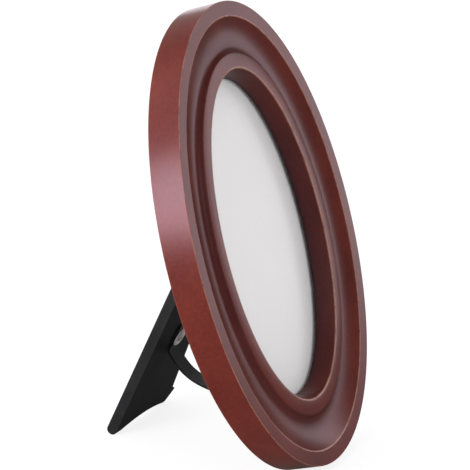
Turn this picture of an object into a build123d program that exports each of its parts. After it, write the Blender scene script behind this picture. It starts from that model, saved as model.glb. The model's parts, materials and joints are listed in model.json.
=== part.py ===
from build123d import *
from math import asin, atan2, cos, degrees, hypot, radians, sin, sqrt, tan
import os

# Oval table frame that leans back on a folding easel leg.
# Millimetres, +Z up, the frame's face looks towards -Y and +X is on the viewer's right.
# The origin is at the middle of the bottom of the standing object's box.

# Stance
lean_angle = 15.92          # how far the frame leans back from upright, degrees
leg_angle = 26.5            # how far the leg leans from upright, degrees
foot_flat_depth = 0.5       # wood planed off the lowest back edge, so that it stands flat

# Oval moulding
rebate_width = 103.6        # oval rebate that holds the sheets, across
rebate_height = 153.0       # and high
lip_width = 4.0             # wood in front of the glass, rebate edge to sight edge
face_width = 33.0           # outer edge to sight edge
glass_depth = 10.5          # front of the moulding back to the glass
land_width = 6.75           # flat rim outside the cove
land_depth = 0.3            # fall of the rim towards the cove
cove_low = 20.0             # outer edge to the lowest line of the cove
cove_depth = 3.25           # that line, from the front
cove_foot_share = 0.77      # hollow part of the rise from there to the bead, the rest is round
bead_start = 23.6           # outer edge to the face of the bead
bead_depth = 1.6            # outer side of the bead's face
bead_crown = 0.12           # swell of the bead's face
bead_end = 30.1             # outer edge to the inner side of the bead
bead_end_depth = 1.4
side_draft = 0.25           # how far the outer side falls in towards the back

# Sheets held in the rebate
glass_thickness = 1.6
insert_thickness = 0.3
filler_thickness = 0.6
board_thickness = 2.1
sheet_clearance = 0.3       # play between each sheet and the rebate

# Hinge at the back
hinge_height = 21.0         # axis above the middle of the oval, along the frame
hinge_width = 24.0
knuckle_count = 5
knuckle_radius = 1.5
knuckle_gap = 0.3
knuckle_lift = 0.3          # air between the barrel and the board
pin_radius = 0.75
pin_overhang = 0.6
pin_play = 0.06             # radial, in the knuckles that turn
leaf_thickness = 0.8
leaf_length = 14.0          # axis to the far end of each leaf
leaf_start = 2.2            # axis to where the full width of a leaf starts
leaf_corner = 2.0
stop_length = 5.0           # tails that meet the fixed leaf when the leg is open
stop_air = 0.3

# Easel leg
leg_thickness = 5.0
leg_top_gap = 2.0           # axis to the top edge of the leg
leg_top_left = 13.0         # left and right edges at the top, from the middle
leg_top_right = 15.0
leg_foot_left = 3.6         # left edge at the foot, from the middle
leg_foot_right = 49.5       # right end of the sole
leg_toe_out = 53.4          # outermost point of the side foot
leg_toe_rise = 4.2          # sole up to the side foot's lower corner
leg_toe_top = 8.4           # sole up to the side foot's tip
leg_notch_x = 49.8          # bottom of the notch above the side foot
leg_notch_rise = 9.8
arch_left = 3.0             # hollow of the sole, from the middle
arch_right = 47.0
arch_rise = 2.3
sole_radius = 2.4
leg_edge_radius = 0.5

# Rivets, eyelets and stay strap
rivet_head_radius = 2.3
rivet_head_height = 0.8
rivet_shank_radius = 1.2
rivet_clinch_radius = 2.0
rivet_clinch_depth = 0.5
rivet_spread = 14.0         # between the two rivets of a leaf
rivet_reach = 10.0          # axis to the rivets
eyelet_radius = 4.8
eyelet_bore_radius = 2.75
eyelet_barrel_wall = 0.4
eyelet_flange = 0.7
eyelet_x = 17.0             # from the middle, to the viewer's right
eyelet_margin = 9.9         # edge of the board up to its eyelet, along the frame
hole_play = 0.05            # radial, round rivets, eyelets and screws
strap_width = 10.0
strap_thickness = 1.0
strap_end = 7.0             # strap beyond the middle of each eyelet
strap_air = 0.1             # strap to what it lies on
strap_board_run_share = 0.17    # strap that lies down the board, as a share of the gap it crosses
strap_leg_run_share = 0.13      # strap that lies down the leg
# the hanging points of the strap, as shares of that gap: along it and below it
strap_slack_shares = ((0.15, 0.31), (0.5, 0.375), (0.86, 0.315))
strap_bend_share = 0.45     # of the shorter run beside each bend
strap_end_bend = 5.5        # radius where the strap leaves the board and the leg

# Turn buttons and their screws, each with its side of the oval across and up
button_corners = {"upper_right": (1, 1), "upper_left": (-1, 1),
                  "lower_left": (-1, -1), "lower_right": (1, -1)}
button_angle = 40.0         # from the widest line of the oval, degrees
button_offset = 6.0         # rebate edge to the screw
button_width = 8.0
button_reach = 13.0         # screw to the tip
button_thickness = 1.0
button_air = 0.3            # button to what it turns over, and to the screw head
button_play = 0.08          # radial, round the screw
screw_radius = 1.2
screw_depth = 8.0
screw_head_radius = 2.8
screw_head_height = 1.5
screw_slot_width = 0.7
screw_slot_depth = 0.7

# Wall hanger on the back of the moulding
hanger_length = 45.0
hanger_width = 9.0
hanger_thickness = 0.9
hanger_raise = 1.5          # middle of the hanger stands off the wood
hanger_foot = 8.0           # flat end that is nailed down
hanger_slope = 3.0
hanger_teeth = 9
hanger_tooth_depth = 1.6
hanger_tooth_pitch = 2.4
nail_radius = 0.7
nail_depth = 7.0
nail_head_radius = 1.6
nail_head_height = 0.5

# Worked out from the sizes above
frame_lean = radians(lean_angle)
leg_lean = radians(leg_angle)
rebate_a = rebate_width / 2
rebate_b = rebate_height / 2
rim_offset = face_width - lip_width
outer_a = rebate_a + rim_offset
outer_b = rebate_b + rim_offset
insert_depth = glass_depth + glass_thickness
filler_depth = insert_depth + insert_thickness
board_depth = filler_depth + filler_thickness
moulding_depth = board_depth + board_thickness
barrel_height = knuckle_radius + knuckle_lift
leg_front = knuckle_radius - leaf_thickness
overrun = moulding_depth


def frame_point(up, depth):
    """Y and Z of a point of the frame, before the origin is moved to the floor."""
    return up * sin(frame_lean) + depth * cos(frame_lean), up * cos(frame_lean) - depth * sin(frame_lean)


# Floor, hinge axis and leg length, with the middle of the oval's front as zero
lowest_y, lowest_z = frame_point(side_draft - outer_b, moulding_depth)
floor_z = lowest_z + foot_flat_depth
axis_y, axis_z = frame_point(hinge_height, moulding_depth + barrel_height)
sole_front = sole_radius - leg_front
leg_reach = (axis_z - floor_z + sole_front * sin(leg_lean) - sole_radius) / cos(leg_lean) + sole_radius
sole_back = leg_thickness - leg_front - sole_radius
back_y = axis_y + (leg_reach - sole_radius) * sin(leg_lean) + sole_back * cos(leg_lean) + sole_radius
front_y = frame_point(-outer_b, 0)[0]
middle_y = (front_y + back_y) / 2

centre = Vector(0, -middle_y, -floor_z)
frame_front = Vector(0, -cos(frame_lean), sin(frame_lean))
leg_front_way = Vector(0, -cos(leg_lean), -sin(leg_lean))
across = Vector(1, 0, 0)
axis_point = centre + Vector(0, axis_y, axis_z)
# In each of these places x is across, y runs up the frame or the leg, and z points to the front
in_frame = Location(Plane(origin=centre, x_dir=across, z_dir=frame_front))
at_hinge = Location(Plane(origin=axis_point, x_dir=across, z_dir=frame_front))
on_leg = Location(Plane(origin=axis_point, x_dir=across, z_dir=leg_front_way))

leaf_back = barrel_height - leaf_thickness
leg_back = leg_front - leg_thickness
board_a = rebate_a - sheet_clearance
board_b = rebate_b - sheet_clearance
eyelet_reach = hinge_height + board_b * sqrt(1 - (eyelet_x / board_a) ** 2) - eyelet_margin


def oval_plate(shrink, depth, thickness):
    """Oval sheet that fits the rebate, its front at the given depth."""
    outline = Plane.XY.offset(-depth - thickness) * Ellipse(rebate_a - shrink, rebate_b - shrink)
    return extrude(outline, thickness)


def rod(radius, x, y, top, bottom):
    """Round bar along z between two heights."""
    return Pos(x, y, bottom) * Cylinder(radius, top - bottom, align=(Align.CENTER, Align.CENTER, Align.MIN))


def block(x0, x1, y0, y1, z0, z1):
    """Box between two corners."""
    return Pos(x0, y0, z0) * Box(x1 - x0, y1 - y0, z1 - z0, align=(Align.MIN, Align.MIN, Align.MIN))


def pivot_places():
    """Screw places round the oval, each with the way to the board in degrees."""
    swing = radians(button_angle)
    for side, rise in button_corners.values():
        normal_x = side * rebate_b * cos(swing)
        normal_y = rise * rebate_a * sin(swing)
        size = hypot(normal_x, normal_y)
        x = side * rebate_a * cos(swing) + button_offset * normal_x / size
        y = rise * rebate_b * sin(swing) + button_offset * normal_y / size
        yield x, y, degrees(atan2(-normal_y, -normal_x))


def hanger_middle():
    return rebate_b + rim_offset / 2


def nail_places():
    reach = (hanger_length - hanger_foot) / 2
    return (-reach, reach)


def moulding_section():
    """Section of the moulding, with y out from the rebate and z back from the front as minus."""
    def at(inward, depth):
        return rebate_b + rim_offset - inward, -depth

    low = at(cove_low, cove_depth)
    rise = at(bead_start, bead_depth)
    foot = at(cove_low + (bead_start - cove_low) * cove_foot_share,
              cove_depth + (bead_depth - cove_depth) * cove_foot_share)
    crown = at((bead_start + bead_end) / 2, (bead_depth + bead_end_depth) / 2 - bead_crown)
    with BuildSketch(Plane.YZ) as section:
        with BuildLine():
            Line(at(0, 0), at(land_width, land_depth))
            TangentArc(low, at(land_width, land_depth), tangent=(1, 0))
            TangentArc(low, foot, tangent=(-1, 0))
            TangentArc(rise, foot, tangent=(1, 0))
            ThreePointArc(rise, crown, at(bead_end, bead_end_depth))
            Line(at(bead_end, bead_end_depth), at(face_width, glass_depth))
            Line(at(face_width, glass_depth), at(rim_offset, glass_depth))
            Line(at(rim_offset, glass_depth), at(rim_offset, moulding_depth))
            Line(at(rim_offset, moulding_depth), at(side_draft, moulding_depth))
            Line(at(side_draft, moulding_depth), at(0, 0))
        make_face()
    return section.sketch


def moulding():
    path = Wire([Edge.make_ellipse(rebate_a, rebate_b)])
    ring = sweep(moulding_section(), path=path)
    for x, y, way in pivot_places():
        ring -= rod(screw_radius + hole_play, x, y, screw_depth - moulding_depth, -moulding_depth - overrun)
    for x in nail_places():
        ring -= rod(nail_radius + hole_play, x, hanger_middle(), nail_depth - moulding_depth,
                    -moulding_depth - overrun)
    below = centre + Vector(0, lowest_y, floor_z)
    planed = Location(below) * Box(outer_a, moulding_depth, overrun,
                                   align=(Align.CENTER, Align.CENTER, Align.MAX))
    return in_frame * ring - planed


def easel_back():
    plate = oval_plate(sheet_clearance, board_depth, board_thickness)
    for x, y in board_rivet_places():
        plate -= rod(rivet_shank_radius + hole_play, x, y, 0, -moulding_depth - overrun)
        plate -= rod(rivet_clinch_radius + hole_play, x, y, 0, -board_depth - rivet_clinch_depth)
    y = hinge_height - eyelet_reach
    barrel = eyelet_bore_radius + eyelet_barrel_wall + hole_play
    plate -= rod(barrel, eyelet_x, y, 0, -moulding_depth - overrun)
    plate -= rod(eyelet_radius + hole_play, eyelet_x, y, 0, -board_depth - eyelet_flange)
    return in_frame * plate


def board_rivet_places():
    return [(x, hinge_height + rivet_reach) for x in (-rivet_spread / 2, rivet_spread / 2)]


def leg_rivet_places():
    return [(x, -rivet_reach) for x in (-rivet_spread / 2, rivet_spread / 2)]


def knuckle(number, bore):
    """One barrel of the hinge along x, round the axis."""
    pitch = (hinge_width + knuckle_gap) / knuckle_count
    x = number * pitch - hinge_width / 2
    length = pitch - knuckle_gap
    along_x = Pos(x, 0, 0) * Rot(0, 90, 0)
    barrel = along_x * rod(knuckle_radius, 0, 0, length, 0)
    hole = along_x * rod(bore, 0, 0, length, 0)
    return barrel, hole, x, x + length


def leaf_plate(front, back):
    """Plate of a leaf that reaches up from the axis, with two round corners."""
    middle = (leaf_start + leaf_length) / 2
    outline = Pos(0, middle, back) * Rectangle(hinge_width, leaf_length - leaf_start)
    corners = outline.vertices().group_by(Axis.Y)[-1]
    return extrude(fillet(corners, leaf_corner), front - back)


def board_hinge_leaf():
    leaf = leaf_plate(barrel_height, leaf_back)
    holes = []
    for number in range(0, knuckle_count, 2):
        barrel, hole, x0, x1 = knuckle(number, pin_radius)
        leaf += barrel
        leaf += block(x0, x1, 0, leaf_start + leaf_thickness, leaf_back, barrel_height)
        holes.append(hole)
    for hole in holes:
        leaf -= hole
    for x in (-rivet_spread / 2, rivet_spread / 2):
        leaf -= rod(rivet_shank_radius + hole_play, x, rivet_reach, overrun, -overrun)
    return at_hinge * leaf


def leg_hinge_leaf():
    leaf = Rot(0, 0, 180) * leaf_plate(knuckle_radius, leg_front)
    tails = []
    holes = []
    for number in range(1, knuckle_count, 2):
        barrel, hole, x0, x1 = knuckle(number, pin_radius + pin_play)
        leaf += barrel
        leaf += block(x0, x1, -leaf_start - leaf_thickness, 0, leg_front, knuckle_radius)
        tail_front = leaf_back - stop_air
        tails.append(block(x0, x1, 0, stop_length, tail_front - leaf_thickness, tail_front))
        holes.append(hole)
    for x, y in leg_rivet_places():
        leaf -= rod(rivet_shank_radius + hole_play, x, y, overrun, -overrun)
        leaf -= rod(rivet_clinch_radius + hole_play, x, y, overrun, knuckle_radius - rivet_clinch_depth)
    placed = on_leg * leaf
    for tail in tails:
        placed += at_hinge * tail
    for hole in holes:
        placed -= on_leg * hole
    return placed


def hinge_pin():
    length = hinge_width + 2 * pin_overhang
    return at_hinge * (Rot(0, 90, 0) * Cylinder(pin_radius, length))


def rivet(grip):
    """Rivet with its domed head at z 0 and up, its flush end at grip below."""
    dome_radius = (rivet_head_radius ** 2 + rivet_head_height ** 2) / (2 * rivet_head_height)
    swell = asin(rivet_head_radius / dome_radius) / 2
    crown = dome_radius * (1 - cos(swell))
    with BuildSketch(Plane.XZ) as half:
        with BuildLine():
            ThreePointArc((0, rivet_head_height), (dome_radius * sin(swell), rivet_head_height - crown),
                          (rivet_head_radius, 0))
            Polyline((rivet_head_radius, 0), (rivet_shank_radius, 0),
                     (rivet_shank_radius, rivet_clinch_depth - grip),
                     (rivet_clinch_radius, rivet_clinch_depth - grip),
                     (rivet_clinch_radius, -grip), (0, -grip), (0, rivet_head_height))
        make_face()
    return revolve(half.sketch, Axis.Z)


def board_leaf_rivets():
    grip = leaf_thickness + board_thickness
    turned = Rot(0, 180, 0) * rivet(grip)
    back = -moulding_depth - leaf_thickness
    return in_frame * Compound([Pos(x, y, back) * turned for x, y in board_rivet_places()])


def leg_leaf_rivets():
    turned = Rot(0, 180, 0) * rivet(leg_thickness + leaf_thickness)
    return on_leg * Compound([Pos(x, y, leg_back) * turned for x, y in leg_rivet_places()])


def eyelet(grip, tail_depth):
    """Hollow eyelet, its rolled flange at z 0 and up, clinched at grip below."""
    barrel = eyelet_bore_radius + eyelet_barrel_wall
    rim = eyelet_flange / 2
    with BuildSketch(Plane.XZ) as half:
        with BuildLine():
            Line((eyelet_bore_radius, -grip - tail_depth), (eyelet_bore_radius, rim))
            ThreePointArc((eyelet_bore_radius, rim),
                          ((eyelet_bore_radius + eyelet_radius) / 2, eyelet_flange), (eyelet_radius, 0))
            Polyline((eyelet_radius, 0), (barrel, 0), (barrel, -grip), (eyelet_radius, -grip),
                     (eyelet_radius, -grip - tail_depth), (eyelet_bore_radius, -grip - tail_depth))
        make_face()
    return revolve(half.sketch, Axis.Z)


def board_eyelet():
    grip = strap_thickness + 2 * strap_air + board_thickness - eyelet_flange
    turned = Rot(0, 180, 0) * eyelet(grip, eyelet_flange)
    back = -moulding_depth - strap_thickness - 2 * strap_air
    return in_frame * Pos(eyelet_x, hinge_height - eyelet_reach, back) * turned


def leg_eyelet():
    grip = leg_thickness + strap_thickness + 2 * strap_air
    front = leg_front + strap_thickness + 2 * strap_air
    return on_leg * Pos(eyelet_x, -eyelet_reach, front) * eyelet(grip, eyelet_flange / 2)


def leg_outline():
    """Outline of the leg in its own place, from the hinge axis down."""
    sole = -leg_reach
    with BuildSketch() as outline:
        with BuildLine():
            Polyline((leg_notch_x, sole + leg_notch_rise), (leg_top_right, -leg_top_gap),
                     (-leg_top_left, -leg_top_gap), (-leg_foot_left, sole), (arch_left, sole))
            ThreePointArc((arch_left, sole), ((arch_left + arch_right) / 2, sole + arch_rise),
                          (arch_right, sole))
            Polyline((arch_right, sole), (leg_foot_right, sole), (leg_toe_out, sole + leg_toe_rise),
                     (leg_toe_out, sole + leg_toe_top), (leg_notch_x, sole + leg_notch_rise))
        make_face()
    return outline.sketch


def support_leg():
    leg = extrude(Pos(0, 0, leg_back) * leg_outline(), leg_thickness)
    faces = (leg.faces().sort_by(Axis.Z)[0], leg.faces().sort_by(Axis.Z)[-1])
    soles = [edge for face in faces for edge in face.edges()
             if edge.center().Y < leg_toe_rise - leg_reach]
    leg = fillet(soles, sole_radius)
    long_edges = [edge for edge in leg.edges().filter_by(GeomType.LINE)
                  if edge.length > leg_reach / 2 and abs(edge.tangent_at(0).Z) < abs(edge.tangent_at(0).Y)]
    leg = fillet(long_edges, leg_edge_radius)
    for x, y in leg_rivet_places():
        leg -= rod(rivet_shank_radius + hole_play, x, y, overrun, -overrun)
    barrel = eyelet_bore_radius + eyelet_barrel_wall + hole_play
    leg -= rod(barrel, eyelet_x, -eyelet_reach, overrun, -overrun)
    return on_leg * leg


def strap_point(place, x, y, z):
    """A point of one of the places, as the distance back and up in the standing object."""
    spot = (place * Location((x, y, z))).position
    return spot.Y, spot.Z


def strap_route():
    """Middle line of the strap, seen from the side, from the board to the leg."""
    board_side = strap_air + strap_thickness / 2
    board_z = barrel_height - board_side
    leg_z = leg_front + board_side
    board_end = strap_point(at_hinge, 0, strap_end - eyelet_reach, board_z)
    leg_end = strap_point(on_leg, 0, strap_end - eyelet_reach, leg_z)
    near = strap_point(at_hinge, 0, -eyelet_reach, board_z)
    far = strap_point(on_leg, 0, -eyelet_reach, leg_z)
    run_y, run_z = far[0] - near[0], far[1] - near[1]
    gap = hypot(run_y, run_z)
    slack = [(near[0] + along * run_y + down * run_z, near[1] + along * run_z - down * run_y)
             for along, down in strap_slack_shares]
    board_bend = strap_point(at_hinge, 0, -eyelet_reach - strap_board_run_share * gap, board_z)
    leg_bend = strap_point(on_leg, 0, -eyelet_reach - strap_leg_run_share * gap, leg_z)
    return [board_end, board_bend] + slack + [leg_bend, leg_end]


def bend_radii(points):
    """Radius for each bend of a route, as large as its two runs allow."""
    radii = []
    for before, here, after in zip(points, points[1:], points[2:]):
        first = Vector(here[0] - before[0], here[1] - before[1])
        second = Vector(after[0] - here[0], after[1] - here[1])
        half_turn = radians(first.get_angle(second)) / 2
        radii.append(strap_bend_share * min(first.length, second.length) / tan(half_turn))
    radii[0] = radii[-1] = strap_end_bend
    return radii


def stay_strap():
    route = strap_route()
    line = FilletPolyline(*route, radius=bend_radii(route))
    left = Plane.YZ.offset(eyelet_x - strap_width / 2)
    band = extrude(left * trace(line, strap_thickness), strap_width)
    hole = eyelet_bore_radius + eyelet_barrel_wall + hole_play
    band -= at_hinge * rod(hole, eyelet_x, -eyelet_reach, barrel_height + strap_thickness,
                           -strap_thickness)
    band -= on_leg * rod(hole, eyelet_x, -eyelet_reach, leg_front + 2 * strap_thickness,
                         leg_back)
    print("strap length", round(line.length, 1), "bend radii", [round(r, 1) for r in bend_radii(route)])
    return band


def turn_button():
    """Flat button with its pivot at zero and its tip along x, back face down."""
    half = button_width / 2
    outline = Pos((button_reach - half) / 2, 0, 0) * SlotCenterToCenter(button_reach - half, button_width)
    plate = extrude(outline, button_thickness)
    return plate - rod(screw_radius + button_play, 0, 0, overrun, -overrun)


def turn_buttons():
    back = -moulding_depth - button_air - button_thickness
    for name, (x, y, way) in zip(button_corners, pivot_places()):
        yield "turn_button_" + name, in_frame * Pos(x, y, back) * Rot(0, 0, way) * turn_button()


def screw():
    """Pan head screw that points up z, the underside of its head at zero."""
    head = Cylinder(screw_head_radius, screw_head_height, align=(Align.CENTER, Align.CENTER, Align.MAX))
    head = fillet(head.edges().sort_by(Axis.Z)[0], screw_head_height / 2)
    slot = Pos(0, 0, -screw_head_height) * Box(2 * screw_head_radius, screw_slot_width, screw_slot_depth,
                                               align=(Align.CENTER, Align.CENTER, Align.MIN))
    cross = Pos(0, 0, -screw_head_height) * Box(screw_slot_width, screw_head_radius, screw_slot_depth,
                                                align=(Align.CENTER, Align.CENTER, Align.MIN))
    length = screw_depth + 2 * button_air + button_thickness
    return head - slot - cross + rod(screw_radius, 0, 0, length, 0)


def button_screws():
    back = -moulding_depth - 2 * button_air - button_thickness
    return in_frame * Compound([Pos(x, y, back) * screw() for x, y, way in pivot_places()])


def wall_hanger():
    half = hanger_length / 2
    rise_start = half - hanger_foot
    rise_end = rise_start - hanger_slope
    profile = [(-half, 0), (-rise_start, 0), (-rise_end, hanger_raise), (rise_end, hanger_raise),
               (rise_start, 0), (half, 0)]
    far_side = [(x, z + hanger_thickness) for x, z in reversed(profile)]
    outline = make_face(Plane.XZ * Polyline(*profile, *far_side, close=True))
    strip = extrude(outline, hanger_width / 2, both=True)
    for number in range(hanger_teeth):
        x = (number - (hanger_teeth - 1) / 2) * hanger_tooth_pitch
        notch = make_face(Polyline((x - hanger_tooth_pitch / 2, -hanger_width / 2),
                                   (x, hanger_tooth_depth - hanger_width / 2),
                                   (x + hanger_tooth_pitch / 2, -hanger_width / 2), close=True))
        strip -= extrude(notch, hanger_raise + 2 * hanger_thickness)
    for x in nail_places():
        strip -= rod(nail_radius + hole_play, x, 0, overrun, -overrun)
    return in_frame * Pos(0, hanger_middle(), -moulding_depth) * Rot(0, 180, 0) * strip


def hanger_nails():
    back = -moulding_depth - hanger_thickness
    nail = rod(nail_radius, 0, 0, nail_depth + hanger_thickness, 0)
    nail += rod(nail_head_radius, 0, 0, 0, -nail_head_height)
    return in_frame * Compound([Pos(x, hanger_middle(), back) * nail for x in nail_places()])


def pieces():
    yield "moulding", moulding()
    yield "glass_pane", in_frame * oval_plate(sheet_clearance, glass_depth, glass_thickness)
    yield "blank_insert", in_frame * oval_plate(sheet_clearance, insert_depth, insert_thickness)
    yield "filler_card", in_frame * oval_plate(sheet_clearance, filler_depth, filler_thickness)
    yield "easel_back", easel_back()
    yield "board_hinge_leaf", board_hinge_leaf()
    yield "board_leaf_rivets", board_leaf_rivets()
    yield "hinge_pin", hinge_pin()
    yield "board_eyelet", board_eyelet()
    yield "support_leg", support_leg()
    yield "leg_hinge_leaf", leg_hinge_leaf()
    yield "leg_leaf_rivets", leg_leaf_rivets()
    yield "leg_eyelet", leg_eyelet()
    yield "stay_strap", stay_strap()
    yield from turn_buttons()
    yield "button_screws", button_screws()
    yield "wall_hanger", wall_hanger()
    yield "hanger_nails", hanger_nails()


os.makedirs("parts", exist_ok=True)
for name, piece in pieces():
    export_step(piece, "parts/" + name + ".step")
print("hinge axis", round(axis_point.Y, 3), round(axis_point.Z, 3))
print("frame centre", round(centre.Y, 3), round(centre.Z, 3))
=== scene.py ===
import json
from math import asin, atan2, cos, hypot, pi, radians, sin

import bmesh
import bpy
from bpy.props import FloatProperty, FloatVectorProperty, IntProperty, PointerProperty
from bpy.types import Operator, Panel, PropertyGroup
from mathutils import Matrix, Vector
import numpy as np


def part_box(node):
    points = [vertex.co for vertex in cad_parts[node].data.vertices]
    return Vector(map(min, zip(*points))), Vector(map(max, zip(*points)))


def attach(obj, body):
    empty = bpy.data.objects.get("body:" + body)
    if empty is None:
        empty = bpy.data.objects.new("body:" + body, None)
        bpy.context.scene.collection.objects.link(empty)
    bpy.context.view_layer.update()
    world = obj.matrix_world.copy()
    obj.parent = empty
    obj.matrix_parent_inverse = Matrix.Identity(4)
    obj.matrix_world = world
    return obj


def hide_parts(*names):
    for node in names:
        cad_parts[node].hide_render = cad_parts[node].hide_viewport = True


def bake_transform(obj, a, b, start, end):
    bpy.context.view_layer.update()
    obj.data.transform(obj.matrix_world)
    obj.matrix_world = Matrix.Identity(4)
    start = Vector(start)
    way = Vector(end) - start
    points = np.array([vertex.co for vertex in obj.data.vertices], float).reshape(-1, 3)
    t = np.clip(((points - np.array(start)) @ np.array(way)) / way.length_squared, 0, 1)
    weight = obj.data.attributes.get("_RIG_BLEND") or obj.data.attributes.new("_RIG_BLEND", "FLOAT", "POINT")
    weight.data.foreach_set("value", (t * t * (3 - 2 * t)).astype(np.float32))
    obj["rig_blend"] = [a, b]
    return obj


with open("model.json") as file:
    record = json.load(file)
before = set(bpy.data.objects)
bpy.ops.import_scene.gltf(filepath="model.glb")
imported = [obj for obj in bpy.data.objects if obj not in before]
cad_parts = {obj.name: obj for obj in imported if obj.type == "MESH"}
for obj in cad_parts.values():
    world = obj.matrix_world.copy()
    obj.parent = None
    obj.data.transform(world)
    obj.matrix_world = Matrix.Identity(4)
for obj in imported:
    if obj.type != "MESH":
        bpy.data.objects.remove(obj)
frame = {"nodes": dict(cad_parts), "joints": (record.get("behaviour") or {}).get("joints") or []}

# Oval table frame in stained wood with a folding easel leg. Metres, +Z up, the picture faces -Y.

bl_info = {
    "name": "Oval table frame",
    "version": (1, 0, 0),
    "blender": (4, 5, 0),
    "location": "3D View > Sidebar > Oval Frame",
    "description": "Builds the finish of an oval wooden table frame round its packed pieces",
    "category": "Object",
}

MM = 0.001
FINE = MM / 1000            # two points nearer than this are one
SENSOR_WIDTH = 36           # of the camera, in mm
CORNERS = ("upper_right", "upper_left", "lower_left", "lower_right")

# Facets round each turned piece
MOULDING_FACETS = 320
GLASS_FACETS = 256
EYELET_FACETS = 72
BUTTON_FACETS = 64
SCREW_FACETS = 48
HINGE_FACETS = 40
NAIL_FACETS = 32

# Rows and columns of faces that the stay strap bends with
STRAP_ROWS, STRAP_COLUMNS = 208, 20

# Painted shade that darkens the moulding's creases: in the cove, up to the bead, and down its inner wall by
# share of the way
COVE_PAINTED_SHADE, SHOULDER_PAINTED_SHADE = 0.3, 0.15
WALL_PAINTED_SHADE = ((0.07, 0.3), (0.35, 0.4), (0.75, 0.5), (0.93, 0.8))

# Rubbed colour of its outer and inner edge at the back, and the painted shade at the inner one
OUTER_BACK_WEAR, INNER_BACK_WEAR, INNER_BACK_PAINTED_SHADE = 0.25, 0.15, 0.2

# Places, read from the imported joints
joints = {joint["name"]: joint for joint in frame["joints"]}
corner_joints = [joints["turn_" + corner] for corner in CORNERS]
ACROSS = Vector((1, 0, 0))
FACE_WAY = -Vector(corner_joints[0]["axis"]).normalized()
BACK_MIDDLE = sum((Vector(joint["pos_m"]) for joint in corner_joints), Vector()) / len(CORNERS)
HINGE_POINT = Vector(joints["leg_hinge"]["pos_m"])
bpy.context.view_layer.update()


def length(label, description, default):
    """A size in metres."""
    return FloatProperty(name=label, description=description, default=default, unit="LENGTH", precision=5)


def share(label, description, default):
    """A part of a whole, from 0 to 1."""
    return FloatProperty(name=label, description=description, default=default, min=0, max=1, subtype="FACTOR")


def angle(label, description, default):
    """An angle, given in degrees."""
    return FloatProperty(name=label, description=description, default=radians(default), subtype="ANGLE")


def colour(label, description, default):
    """A colour of a finish or of the lamps."""
    return FloatVectorProperty(name=label, description=description, default=default, size=3,
                               min=0, max=1, subtype="COLOR")


def location(label, description, default):
    """A place in the scene, or the way towards one from the frame."""
    return FloatVectorProperty(name=label, description=description, default=default, size=3,
                               subtype="TRANSLATION")


def facing(label, description, default):
    """How squarely something lies a given way: 1 is straight ahead, 0 is beside and -1 is behind."""
    return FloatProperty(name=label, description=description, default=default, min=-1, max=1)


def power(label, description, default):
    """Power of a lamp in watts."""
    return FloatProperty(name=label, description=description, default=default, unit="POWER")


class MouldingSettings(PropertyGroup):
    """Sizes of the oval moulding, colours of its stain, and the colour of the shade painted into its creases.
    """
    rebate_width: length("Rebate width", "Oval rebate for the sheets, across", 103.6 * MM)
    rebate_height: length("Rebate height", "Oval rebate for the sheets, high", 153.0 * MM)
    lip_width: length("Lip", "Wood in front of the glass", 4.0 * MM)
    face_width: length("Face", "Outer edge to sight edge", 33.0 * MM)
    glass_depth: length("Glass depth", "Front of the moulding back to the glass", 10.5 * MM)
    depth: length("Depth", "Front of the moulding to its back", 15.1 * MM)
    land_width: length("Rim", "Flat rim outside the cove", 6.75 * MM)
    land_depth: length("Rim fall", "Fall of the rim towards the cove", 0.3 * MM)
    cove_low: length("Cove low", "Outer edge to the lowest line of the cove", 19.5 * MM)
    cove_depth: length("Cove depth", "Lowest line of the cove, from the front", 3.8 * MM)
    cove_foot: share("Cove foot", "Hollow part of the rise from the cove to the bead", 0.77)
    bead_start: length("Bead start", "Outer edge to the face of the bead", 23.6 * MM)
    bead_depth: length("Bead depth", "Outer side of the bead, from the front", 1.6 * MM)
    bead_crown: length("Bead crown", "Swell of the bead's face", 0.12 * MM)
    bead_end: length("Bead end", "Outer edge to the inner side of the bead", 30.1 * MM)
    bead_end_depth: length("Bead end depth", "Inner side of the bead, from the front", 1.4 * MM)
    side_draft: length("Side draft", "Fall of the outer side towards the back", 0.25 * MM)
    edge_round: length("Edge rounding", "Rounding of the rubbed edges", 0.3 * MM)
    edge_reach: length("Edge reach", "How far the rubbed colour fades from an edge", 0.42 * MM)
    stain_dark: colour("Dark stain", "Stain in the pores", (0.095, 0.012, 0.006))
    stain: colour("Stain", "Red stain of the wood", (0.150, 0.022, 0.011))
    rubbed: colour("Rubbed edge", "Bare wood where the edges are rubbed", (0.42, 0.22, 0.16))
    lacquer: colour("Lacquer", "Tint of the lacquer's sheen", (1.0, 0.82, 0.96))
    # Colour of the painted shade in the creases, the cove and the inner wall
    crease_shade_colour: colour("Crease glaze", "Dark glaze in the crease", (0.022, 0.007, 0.010))


class SheetSettings(PropertyGroup):
    """Sizes and colours of the glass and the sheets behind it."""
    glass: length("Glass", "Thickness of the glass", 1.6 * MM)
    play: length("Play", "Play between each sheet and the rebate", 0.3 * MM)
    hair: length("Hair", "Hair of air between the glass and the insert", 0.04 * MM)
    ground: length("Ground edge", "Ground edges of the glass", 0.2 * MM)
    glass_tint: colour("Glass tint", "What the glass lets through", (0.985, 0.985, 0.985))
    insert: colour("Insert", "Blank insert behind the glass", (0.95, 0.945, 0.945))
    filler: colour("Filler", "Grey card behind the insert", (0.30, 0.28, 0.25))
    paper: colour("Paper", "Black paper of the back and the leg", (0.007, 0.007, 0.0075))
    paper_light: colour("Paper grain", "Light flecks of the black paper", (0.020, 0.020, 0.021))


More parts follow.
